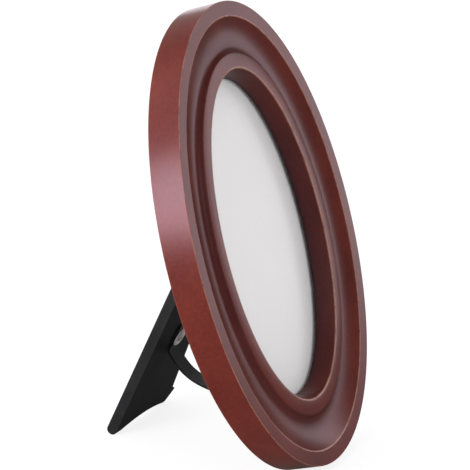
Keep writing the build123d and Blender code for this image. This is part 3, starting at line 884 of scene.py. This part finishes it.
def easel_leg():
    """Tapered board with rounded soles, and the hole of its eyelet."""
    leg = settings("leg")
    hardware = settings("hardware")
    sole = -leg_reach()
    bm = plate(leg_outline(leg, sole), leg.front - leg.thickness, leg.front)
    bevel(bm, sole_edges(bm, sole + leg.toe_rise + FINE), leg.sole_round, segments=8)
    sides = [edge for edge in sharp_edges(bm) if edge.calc_length() > leg.thickness / 2]
    bevel(bm, sides, leg.edge_round)
    x, y = eyelet_spot()
    hole = hardware.bore + hardware.eyelet_wall / 2
    drill = moved(rod(hole, -2 * leg.thickness, 2 * leg.thickness), Matrix.Translation((x, y, 0)))
    make_piece("easel_leg", cut(bm, drill), leg_place(), black_paper(), "leg",
               ["support_leg"], weighted=True)


def eyelet_shape(grip, tail):
    """Hollow eyelet, its rolled lip at z 0 and up, clinched at grip below."""
    values = settings("hardware")
    bore, out = values.bore, values.eyelet
    barrel = bore + values.eyelet_wall
    middle = (bore + out) / 2
    lip = arc((bore, 0), (middle, values.eyelet_lip), (out, 0), count=14)
    foot = arc((out, -grip), (middle, -grip - tail), (bore, -grip), count=10)
    profile = [(bore, 0)] + lip + [(barrel, 0), (barrel, -grip), (out, -grip)] + foot
    return spun(profile, EYELET_FACETS, closed=True)


def eyelets():
    """The eyelets that hold the strap to the leg and to the board."""
    values = settings("hardware")
    leg = settings("leg")
    finish = metal("satin_nickel", values.nickel, smooth=0.29, rough=0.38, bare=0.25)
    x, y = eyelet_spot()
    seat = leg.strap_thickness + 2 * leg.strap_air
    shape = eyelet_shape(leg.thickness + seat, values.eyelet_lip / 2)
    make_piece("leg_strap_eyelet", shape, at(leg_place(), x, y, leg.front + seat), finish,
               "leg", ["leg_eyelet"])
    shape = eyelet_shape(seat + values.board - values.eyelet_lip, values.eyelet_lip)
    place = at(hinge_place(), x, y, values.barrel - seat) @ Matrix.Rotation(pi, 4, "Y")
    make_piece("board_strap_eyelet", shape, place, finish, "frame", ["board_eyelet"])


def strap_points():
    """Points that the strap's middle line is drawn to, from the board down, over and up to the leg."""
    leg = settings("leg")
    values = settings("hardware")
    x, y = eyelet_spot()
    lift = leg.strap_air + leg.strap_thickness / 2
    clear = values.eyelet + leg.strap_thickness / 2

    def on_board(down):
        return hinge_place() @ Vector((x, y - down, values.barrel - lift))

    def on_leg(down):
        return leg_place() @ Vector((x, y - down, leg.front + lift))

    gap = on_leg(0) - on_board(0)
    below = gap.cross(ACROSS)
    hanging = ((leg.slack_1, leg.sag_1), (leg.slack_2, leg.sag_2), (leg.slack_3, leg.sag_3))
    slack = [on_board(0) + gap * along + below * down for along, down in hanging]
    return ([on_board(-leg.strap_end), on_board(clear), on_board(leg.board_run * gap.length)] + slack
            + [on_leg(leg.leg_run * gap.length), on_leg(clear), on_leg(-leg.strap_end)])


def smooth_line(points):
    """Close points along a smooth line drawn to these points."""
    curve = bpy.data.curves.new("line", "CURVE")
    curve.dimensions = "3D"
    spline = curve.splines.new("NURBS")
    spline.points.add(len(points) - 1)
    for point, place in zip(spline.points, points):
        point.co = (*place, 1)
    spline.order_u = 3
    spline.use_endpoint_u = True
    spline.resolution_u = 32
    holder = bpy.data.objects.new("line", curve)
    mesh = bpy.data.meshes.new_from_object(holder)
    dense = [vert.co.copy() for vert in mesh.vertices]
    bpy.data.objects.remove(holder)
    bpy.data.curves.remove(curve)
    bpy.data.meshes.remove(mesh)
    return dense


def even_line(dense, count):
    """Evenly spaced points along a line of close points, and the line's length."""
    reach = [0]
    for before, after in zip(dense, dense[1:]):
        reach.append(reach[-1] + (after - before).length)
    even = []
    index = 0
    for step in range(count + 1):
        wanted = reach[-1] * step / count
        while index < len(dense) - 2 and reach[index + 1] < wanted:
            index += 1
        part = (wanted - reach[index]) / (reach[index + 1] - reach[index])
        even.append(dense[index].lerp(dense[index + 1], part))
    return even, reach[-1]


def pierced_strip(whole):
    """Flat strip of the strap's size, with a round hole for each eyelet."""
    leg = settings("leg")
    hardware = settings("hardware")
    bm = bmesh.new()
    bmesh.ops.create_grid(bm, x_segments=STRAP_COLUMNS, y_segments=STRAP_ROWS, size=1)
    bmesh.ops.scale(bm, vec=(leg.strap_width / 2, whole / 2, 1), verts=bm.verts)
    bmesh.ops.translate(bm, vec=(0, whole / 2, 0), verts=bm.verts)
    # Each hole clears the eyelet's barrel by a fifth of its wall
    hole = hardware.bore + hardware.eyelet_wall * 1.2
    for middle in (leg.strap_end, whole - leg.strap_end):
        spot = Vector((0, middle, 0))
        inside = [face for face in bm.faces if (face.calc_center_median() - spot).length < hole]
        bmesh.ops.delete(bm, geom=inside, context="FACES")
        for vert in bm.verts:
            if (vert.co - spot).length < 2 * hole and vert.is_boundary:
                vert.co = spot + (vert.co - spot).normalized() * hole
    return bm


def lay_along(bm, line, whole):
    """Bend a flat strip to a line, its woven edges thicker than its middle."""
    leg = settings("leg")
    rows = len(line) - 1
    for vert in bm.verts:
        across, along, side = vert.co
        step = along / whole * rows
        index = min(int(step), rows - 1)
        way = line[min(index + 1, rows)] - line[index]
        turn = line[min(index + 2, rows)] - line[max(index - 1, 0)]
        normal = ACROSS.cross(turn).normalized()
        edge = abs(across) > leg.strap_width / 2 - leg.selvedge
        thick = leg.strap_thickness * (1 if edge else leg.strap_middle)
        vert.co = line[index] + way * (step - index) + ACROSS * across + normal * thick * (side - 0.5)


def stay_strap():
    """Woven strap from the board's eyelet to the leg's, which bends as the leg turns."""
    line, whole = even_line(smooth_line(strap_points()), STRAP_ROWS)
    bm = pierced_strip(whole)
    raised(bm, 1)
    lay = bm.loops.layers.uv.new("lay")
    for face in bm.faces:
        for loop in face.loops:
            loop[lay].uv = (loop.vert.co.x, loop.vert.co.y)
    lay_along(bm, line, whole)
    piece = make_piece("woven_stay_strap", bm, Matrix.Identity(4), woven_strap(), None,
                       ["stay_strap"])
    # The blend runs a little past both ends, so that the slack stays between board and folded leg
    over = (line[-1] - line[0]) * 0.09
    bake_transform(piece, "frame", "leg", start=line[0] - over, end=line[-1] + over)


def rod_across(radius, start, end, round_off):
    """Round bar along x with softened ends."""
    profile = [(0, start), (radius - round_off, start), (radius, start + round_off),
               (radius, end - round_off), (radius - round_off, end), (0, end)]
    return moved(spun(profile, HINGE_FACETS), Matrix.Rotation(pi / 2, 4, "Y"))


def block(low, high, soft):
    """Box between two corners with softened edges."""
    bm = bmesh.new()
    bmesh.ops.create_cube(bm, size=1)
    bmesh.ops.scale(bm, vec=Vector(high) - Vector(low), verts=bm.verts)
    bmesh.ops.translate(bm, vec=(Vector(high) + Vector(low)) / 2, verts=bm.verts)
    bevel(bm, bm.edges[:], soft, segments=2)
    return bm


def leaf_plate(low, high):
    """Leaf of the hinge that reaches up from the axis, with two round corners."""
    values = settings("hardware")
    half, corner, top = values.hinge_width / 2, values.leaf_corner, values.leaf_length
    inset = corner * (1 - sin(pi / 4))
    outline = [(-half, values.leaf_start), (half, values.leaf_start), (half, top - corner)]
    outline += arc((half, top - corner), (half - inset, top - inset), (half - corner, top), count=8)
    outline += [(corner - half, top)]
    outline += arc((corner - half, top), (inset - half, top - inset), (-half, top - corner), count=8)
    bm = plate(outline, low, high)
    bevel(bm, sharp_edges(bm), values.soft, segments=2)
    return bm


def knuckle_spans(first):
    """Start and end of every second knuckle of the hinge, from this one on."""
    values = settings("hardware")
    half = values.hinge_width / 2
    pitch = (values.hinge_width + values.knuckle_gap) / values.knuckles
    return [(number * pitch - half, (number + 1) * pitch - values.knuckle_gap - half)
            for number in range(first, values.knuckles, 2)]


def fixed_leaf(steel):
    """Leaf on the board, with the first knuckle and every second one after it."""
    values = settings("hardware")
    back = values.barrel - values.leaf
    neck = values.leaf_start + values.leaf
    parts = [leaf_plate(back, values.barrel)]
    for start, end in knuckle_spans(0):
        parts.append(rod_across(values.knuckle, start, end, values.soft))
        parts.append(block((start, 0, back), (end, neck, values.barrel), values.soft))
    make_piece("fixed_leaf", join(*parts), hinge_place(), steel, "frame", ["board_hinge_leaf"],
               weighted=True)


def swinging_leaf(steel):
    """Leaf on the leg, with the knuckles between and the tails that meet the fixed leaf."""
    values = settings("hardware")
    front = settings("leg").front
    neck = values.leaf_start + values.leaf
    tail_front = values.barrel - values.leaf - values.stop_air
    turned = leg_place().inverted() @ hinge_place()
    parts = [moved(leaf_plate(front, values.knuckle), Matrix.Rotation(pi, 4, "Z"))]
    for start, end in knuckle_spans(1):
        parts.append(rod_across(values.knuckle, start, end, values.soft))
        parts.append(block((start, -neck, front), (end, 0, values.knuckle), values.soft))
        tail = block((start, 0, tail_front - values.leaf), (end, values.stop, tail_front), values.soft)
        parts.append(moved(tail, turned))
    make_piece("swinging_leaf", join(*parts), leg_place(), steel, "leg", ["leg_hinge_leaf"],
               weighted=True)


def hinge():
    """Both leaves of the leg's hinge, and the pin through their knuckles."""
    values = settings("hardware")
    steel = metal("hinge_steel", values.steel, smooth=0.29, rough=0.42)
    fixed_leaf(steel)
    swinging_leaf(steel)
    reach = values.hinge_width / 2 + values.pin_overhang
    make_piece("hinge_axle", rod_across(values.pin, -reach, reach, values.pin / 3), hinge_place(), steel,
               "frame", ["hinge_pin"])


def dome(radius, height, count):
    """Points of a low dome, from its crown out to its rim."""
    ball = (radius ** 2 + height ** 2) / (2 * height)
    sweep = asin(radius / ball)
    return [(ball * sin(sweep * step / count), height - ball * (1 - cos(sweep * step / count)))
            for step in range(count + 1)]


def rivet(grip):
    """Rivet with its domed head at z 0 and up, its flush end at grip below."""
    values = settings("hardware")
    clinch = values.rivet_clinch - grip
    profile = dome(values.rivet_head, values.rivet_height, count=8)
    profile += [(values.rivet_shank, 0), (values.rivet_shank, clinch), (values.rivet_flush, clinch),
                (values.rivet_flush, -grip), (0, -grip)]
    return moved(spun(profile, HINGE_FACETS), Matrix.Rotation(pi, 4, "Y"))


def rivet_pair(grip, reach, depth):
    """Both rivets of a leaf, this far up from the axis."""
    spread = settings("hardware").rivet_spread / 2
    return join(*[moved(rivet(grip), Matrix.Translation((x, reach, depth))) for x in (-spread, spread)])


def rivets():
    """Rivets that hold the leaves to the board and to the leg."""
    values = settings("hardware")
    leg = settings("leg")
    steel = metal("rivet_steel", values.steel, smooth=0.29, rough=0.38)
    pair = rivet_pair(values.leaf + values.board, values.rivet_reach, values.barrel - values.leaf)
    make_piece("board_rivets", pair, hinge_place(), steel, "frame", ["board_leaf_rivets"])
    pair = rivet_pair(leg.thickness + values.leaf, -values.rivet_reach, leg.front - leg.thickness)
    make_piece("leg_rivets", pair, leg_place(), steel, "leg", ["leg_leaf_rivets"])


def button_places():
    """Place of each turn button at the back of the moulding, its tip along x."""
    moulding = settings("moulding")
    values = settings("hardware")
    inward = frame_place().inverted()
    for name, joint in zip(CORNERS, corner_joints):
        spot = inward @ Vector(joint["pos_m"])
        side, rise = (1 if spot.x > 0 else -1), (1 if spot.y > 0 else -1)
        way = atan2(-rise * moulding.rebate_width * sin(values.button_swing),
                    -side * moulding.rebate_height * cos(values.button_swing))
        yield name, at(frame_place(), *spot) @ Matrix.Rotation(way, 4, "Z")


def turn_buttons():
    """Flat buttons that hold the sheets in, each round at its screw and drawn out to its tip."""
    values = settings("hardware")
    steel = metal("button_steel", values.steel, smooth=0.29, rough=0.42)
    half = values.button_width / 2
    for name, place in button_places():
        bm = bmesh.new()
        bmesh.ops.create_circle(bm, cap_ends=True, segments=BUTTON_FACETS, radius=half)
        tip = [vert for vert in bm.verts if vert.co.x > FINE]
        bmesh.ops.translate(bm, vec=(values.button_reach - half, 0, 0), verts=tip)
        raised(bm, values.button)
        bevel(bm, sharp_edges(bm), 2 * values.soft)
        bm = cut(bm, rod(values.screw + values.button_play, -values.button, 2 * values.button))
        make_piece("button_" + name, bm, at(place, 0, 0, -values.air - values.button), steel,
                   "button_" + name, ["turn_button_" + name], weighted=True)


def screw():
    """Pan head screw with a cross slot that points up z, the underside of its head at zero."""
    values = settings("hardware")
    side = values.screw_height * 0.4    # upright side of the head, under its dome
    crown = [(radius, -height - side)
             for radius, height in dome(values.screw_head, values.screw_height - side, count=8)]
    profile = crown + [(values.screw_head, 0), (values.screw, 0), (values.screw, values.screw_depth),
                       (0, values.screw_depth)]
    width, top = values.screw_slot / 2, -values.screw_height
    bottom = top + 2 * width
    long, short = 2 * values.screw_head, values.screw_head / 2
    slots = [block((-x, -y, 2 * top), (x, y, bottom), FINE) for x, y in ((long, width), (width, short))]
    made = spun(profile, SCREW_FACETS)
    for slot in slots:
        made = cut(made, slot)
    return made


def screws():
    """Screws that the turn buttons turn round."""
    values = settings("hardware")
    steel = metal("screw_steel", values.steel, smooth=0.29, rough=0.40)
    back = -2 * values.air - values.button
    inward = frame_place().inverted()
    made = [moved(screw(), at(inward @ place, 0, 0, back)) for _, place in button_places()]
    make_piece("cross_screws", join(*made), frame_place(), steel, "frame", ["button_screws"],
               weighted=True)


def hanger_place():
    """Middle of the wall hanger, on the back of the moulding above the rebate."""
    moulding = settings("moulding")
    rise = moulding.rebate_height / 2 + (moulding.face_width - moulding.lip_width) / 2
    return at(frame_place(), 0, rise, -moulding.depth)


def toothed_strip():
    """Flat strip with notches along its lower edge, and its middle drawn off the wood."""
    values = settings("hardware")
    half, low = values.hanger_length / 2, -values.hanger_width / 2
    outline = [(half, low), (half, -low), (-half, -low), (-half, low)]
    for number in range(values.teeth):
        x = (number - (values.teeth - 1) / 2) * values.tooth_pitch
        outline += [(x - values.tooth_pitch / 2, low), (x, low + values.tooth_depth)]
    outline += [(values.teeth * values.tooth_pitch / 2, low)]
    bm = plate(outline, -values.hanger, 0)
    rise_start = half - values.hanger_foot
    rise_end = rise_start - values.hanger_slope
    for x in (-rise_start, -rise_end, rise_end, rise_start):
        split(bm, point=(x, 0, 0), normal=(1, 0, 0))
    for vert in bm.verts:
        slope = (rise_start - abs(vert.co.x)) / values.hanger_slope
        vert.co.z -= values.hanger_raise * min(max(slope, 0), 1)
    bevel(bm, sharp_edges(bm, turn=60), values.soft, segments=2)
    return bm


def hanger_nail():
    """Round headed nail that points up z, the underside of its head at zero."""
    values = settings("hardware")
    crown = [(radius, -height) for radius, height in dome(values.nail_head, values.nail_height, count=6)]
    profile = crown + [(values.nail, 0), (values.nail, values.nail_depth), (0, values.nail_depth)]
    return spun(profile, NAIL_FACETS)


def wall_hanger():
    """Toothed hanger and the nails in its two feet."""
    values = settings("hardware")
    brass = metal("hanger_brass", values.brass, smooth=0.29, rough=0.42)
    make_piece("toothed_hanger", toothed_strip(), hanger_place(), brass, "frame",
               ["wall_hanger"], weighted=True)
    spot = values.hanger_length / 2 - values.hanger_foot / 2
    nails = [moved(hanger_nail(), Matrix.Translation((x, 0, -values.hanger))) for x in (-spot, spot)]
    make_piece("hanger_pins", join(*nails), hanger_place(), brass, "frame", ["hanger_nails"])


def white_sight(nodes, white):
    """How much white a ray sees, and whether it left a mirror or glass.

    The camera sees all of it, and a ray from a mirror or through glass sees the share in white."""
    path = nodes.add("ShaderNodeLightPath").outputs
    mirrored = nodes.math("MAXIMUM", path["Is Glossy Ray"], path["Is Transmission Ray"])
    return nodes.math("MAXIMUM", path["Is Camera Ray"], nodes.math("MULTIPLY", mirrored, white)), mirrored


def toward(nodes, vector, way, start, full, level):
    """Ramp up to this level as the vector turns this way."""
    aim = nodes.add("ShaderNodeVectorMath", {0: vector}, operation="NORMALIZE")
    side = nodes.add("ShaderNodeVectorMath", {0: aim.outputs["Vector"], 1: way}, operation="DOT_PRODUCT")
    return nodes.ramp(side.outputs["Value"], start, full, light=level)


def floor_material():
    """Pale floor that the camera sees as white apart from the object's shadow."""
    values = settings("stage")
    floor = Finish("pale_floor")
    lit = floor.add("ShaderNodeBsdfDiffuse", {"Color": opaque(grey(values.floor_tone))})
    glow = floor.add("ShaderNodeEmission", {"Strength": values.floor_glow})
    seen = floor.add("ShaderNodeAddShader", {0: lit.outputs[0], 1: glow.outputs[0]})
    spot = floor.add("ShaderNodeNewGeometry").outputs["Position"]
    reach = floor.add("ShaderNodeVectorMath", {0: spot}, operation="LENGTH").outputs["Value"]
    white = floor.ramp(reach, values.near_floor, values.far_floor, values.floor_mirror, values.dim)
    sight, mirrored = white_sight(floor, white)
    tone = floor.mix(mirrored, grey(values.floor_plain), grey(values.dim))
    plain = floor.add("ShaderNodeBsdfDiffuse", {"Color": tone})
    floor.show(floor.mix_shaders(sight, plain, seen))
    return floor.material


def sky():
    """White backdrop on one side of a dim studio, a paler one beside it, and soft light from all round."""
    values = settings("stage")
    world = bpy.data.worlds.new("studio")
    bpy.context.scene.world = world
    world.use_nodes = True
    studio = Nodes(world.node_tree)
    way = studio.add("ShaderNodeTexCoord").outputs["Generated"]
    white = toward(studio, way, values.white_side, values.white_start, values.white_full, level=1.0)
    pale = toward(studio, way, values.pale_side, values.pale_start, values.pale_full, values.pale_mirror)
    sight, mirrored = white_sight(studio, studio.math("MAXIMUM", white, pale))
    rest = studio.ramp(mirrored, 0, 1, values.sky, values.dim)
    lift = studio.math("MULTIPLY", sight, studio.math("SUBTRACT", 1.0, rest))
    background = studio.tree.nodes["Background"]
    studio.feed(background.inputs["Color"], opaque(grey(1)))
    studio.feed(background.inputs["Strength"], studio.math("ADD", rest, lift))


def lamp(name, place, width, height, watts):
    """Soft lamp that faces the middle of the frame."""
    data = bpy.data.lights.new(name, "AREA")
    data.shape = "RECTANGLE"
    data.size = width
    data.size_y = height
    data.energy = watts
    data.color = settings("stage").warmth
    obj = placed(name, data)
    obj.location = place
    obj.rotation_euler = (Vector(place) - BACK_MIDDLE).to_track_quat("Z", "Y").to_euler()
    obj.visible_camera = False
    return obj


def camera():
    """Camera in front of the frame on its left, a little above it."""
    values = settings("stage")
    data = bpy.data.cameras.new("camera")
    data.sensor_width = SENSOR_WIDTH
    data.lens = values.lens
    obj = placed("camera", data)
    obj.location = values.camera_place
    obj.rotation_euler = (pi / 2 - values.camera_rise, 0, values.camera_round)
    bpy.context.scene.camera = obj
    bpy.context.scene.view_settings.view_transform = "Standard"


def stage():
    """Floor, backdrop, lamps and camera."""
    values = settings("stage")
    bm = bmesh.new()
    bmesh.ops.create_grid(bm, x_segments=1, y_segments=1, size=values.floor / 2)
    floor = placed("floor", mesh_of("floor", bm))
    floor.data.materials.append(floor_material())
    sky()
    lamp("strip", values.strip_place, values.strip_width, values.strip_height, values.strip_power)
    lamp("rim_panel", values.rim_place, values.rim_width, values.rim_height, values.rim_power)
    lamp("left_panel", values.left_place, values.left_width, values.left_height, values.left_power)
    lamp("front_panel", values.front_place, values.front_width, values.front_height, values.front_power)
    side = lamp("side_light", values.side_place, values.side_size, values.side_size, values.side_power)
    side.visible_glossy = False
    camera()


class OVAL_OT_moulding(Operator):
    """Turn the oval moulding and stain it"""
    bl_idname = "oval.moulding"
    bl_label = "Moulding"

    def execute(self, context):
        oval_moulding()
        return {"FINISHED"}


class OVAL_OT_sheets(Operator):
    """Finish the glass, insert, filler and back"""
    bl_idname = "oval.sheets"
    bl_label = "Glass and Sheets"

    def execute(self, context):
        sheets()
        return {"FINISHED"}


class OVAL_OT_leg(Operator):
    """Make the easel leg"""
    bl_idname = "oval.leg"
    bl_label = "Easel Leg"

    def execute(self, context):
        easel_leg()
        return {"FINISHED"}


class OVAL_OT_strap(Operator):
    """Weave the stay strap and turn its two eyelets"""
    bl_idname = "oval.strap"
    bl_label = "Strap and Eyelets"

    def execute(self, context):
        stay_strap()
        eyelets()
        return {"FINISHED"}


class OVAL_OT_hinge(Operator):
    """Make the leg's hinge and its rivets"""
    bl_idname = "oval.hinge"
    bl_label = "Hinge and Rivets"

    def execute(self, context):
        hinge()
        rivets()
        return {"FINISHED"}


class OVAL_OT_buttons(Operator):
    """Make the turn buttons and their screws"""
    bl_idname = "oval.buttons"
    bl_label = "Turn Buttons"

    def execute(self, context):
        turn_buttons()
        screws()
        return {"FINISHED"}


class OVAL_OT_hanger(Operator):
    """Make the wall hanger and its nails"""
    bl_idname = "oval.hanger"
    bl_label = "Wall Hanger"

    def execute(self, context):
        wall_hanger()
        return {"FINISHED"}


class OVAL_OT_stage(Operator):
    """Set the floor, light and camera"""
    bl_idname = "oval.stage"
    bl_label = "Stage"

    def execute(self, context):
        stage()
        return {"FINISHED"}


GROUPS = {"moulding": MouldingSettings, "sheets": SheetSettings, "leg": LegSettings,
          "hardware": HardwareSettings, "stage": StageSettings}
OPERATORS = (OVAL_OT_moulding, OVAL_OT_sheets, OVAL_OT_leg, OVAL_OT_strap, OVAL_OT_hinge, OVAL_OT_buttons,
             OVAL_OT_hanger, OVAL_OT_stage)


class OVAL_PT_panel(Panel):
    """Lists the pieces of the frame"""
    bl_idname = "OVAL_PT_panel"
    bl_label = "Oval Frame"
    bl_space_type = "VIEW_3D"
    bl_region_type = "UI"
    bl_category = "Oval Frame"

    def draw(self, context):
        for operator in OPERATORS:
            self.layout.operator(operator.bl_idname)
        for group, kind in GROUPS.items():
            box = self.layout.box()
            box.label(text=group.capitalize())
            for name in kind.__annotations__:
                box.prop(settings(group), name)


CLASSES = (*GROUPS.values(), *OPERATORS, OVAL_PT_panel)


def register():
    """Register the classes, and give the scene its settings."""
    for kind in CLASSES:
        bpy.utils.register_class(kind)
    for group, kind in GROUPS.items():
        setattr(bpy.types.Scene, "oval_" + group, PointerProperty(type=kind))


def unregister():
    """Take the settings and the classes away again."""
    for group in GROUPS:
        delattr(bpy.types.Scene, "oval_" + group)
    for kind in reversed(CLASSES):
        bpy.utils.unregister_class(kind)


def main():
    """Make every piece and the stage."""
    register()
    bpy.ops.oval.moulding()
    bpy.ops.oval.sheets()
    bpy.ops.oval.leg()
    bpy.ops.oval.strap()
    bpy.ops.oval.hinge()
    bpy.ops.oval.buttons()
    bpy.ops.oval.hanger()
    bpy.ops.oval.stage()


if __name__ == "__main__":
    main()
